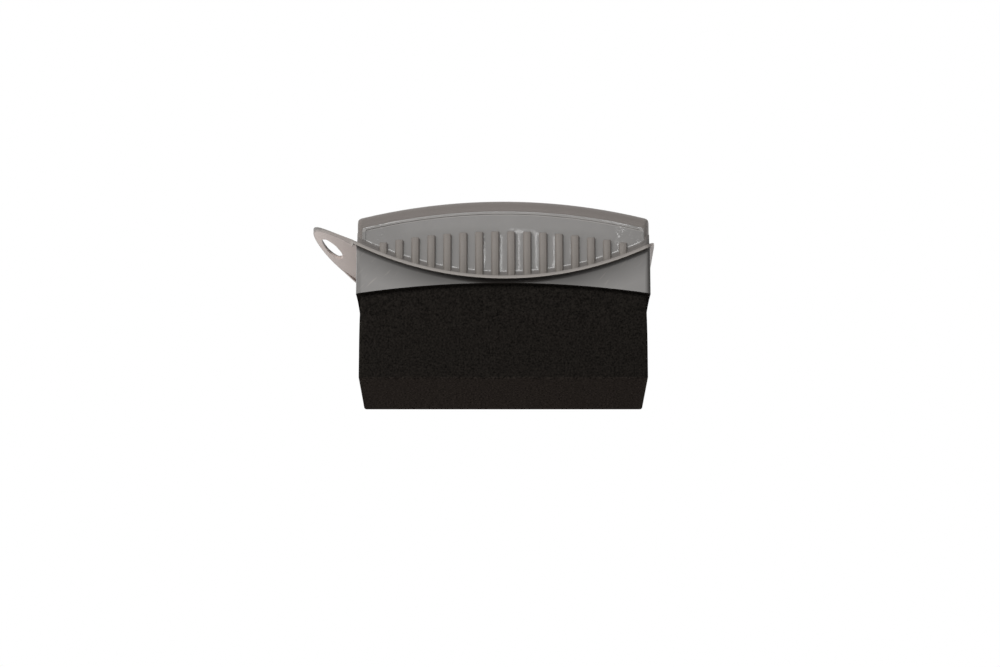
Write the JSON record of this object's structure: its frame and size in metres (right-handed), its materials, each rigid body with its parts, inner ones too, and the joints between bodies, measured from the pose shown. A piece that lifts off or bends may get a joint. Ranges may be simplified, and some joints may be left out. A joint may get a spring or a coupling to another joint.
{
  "type": "chalkboard eraser",
  "caption": "Hand eraser with a dark foam block glued into a one-piece ribbed grip that has a curved finger guard and a hanging tongue with an oval hole.",
  "frame": {"origin": "centre of the foam's flat wiping face", "axes": "+Z from the wiping face up to the top of the grip, +X along the length away from the hanging tongue, -Y the front"},
  "size_m": [0.144, 0.0608, 0.0808],
  "materials": {
    "grip_plastic": "grey moulded polystyrene, polished panels and skirt, matt ribs and edges",
    "wiping_foam": "black fine-celled soft foam, cut faces",
    "glue": "dried contact glue"
  },
  "bodies": {
    "root": {"grip_shell": "grip_plastic", "foam_block": "wiping_foam", "glue_strips": "glue"}
  },
  "joints": []
}
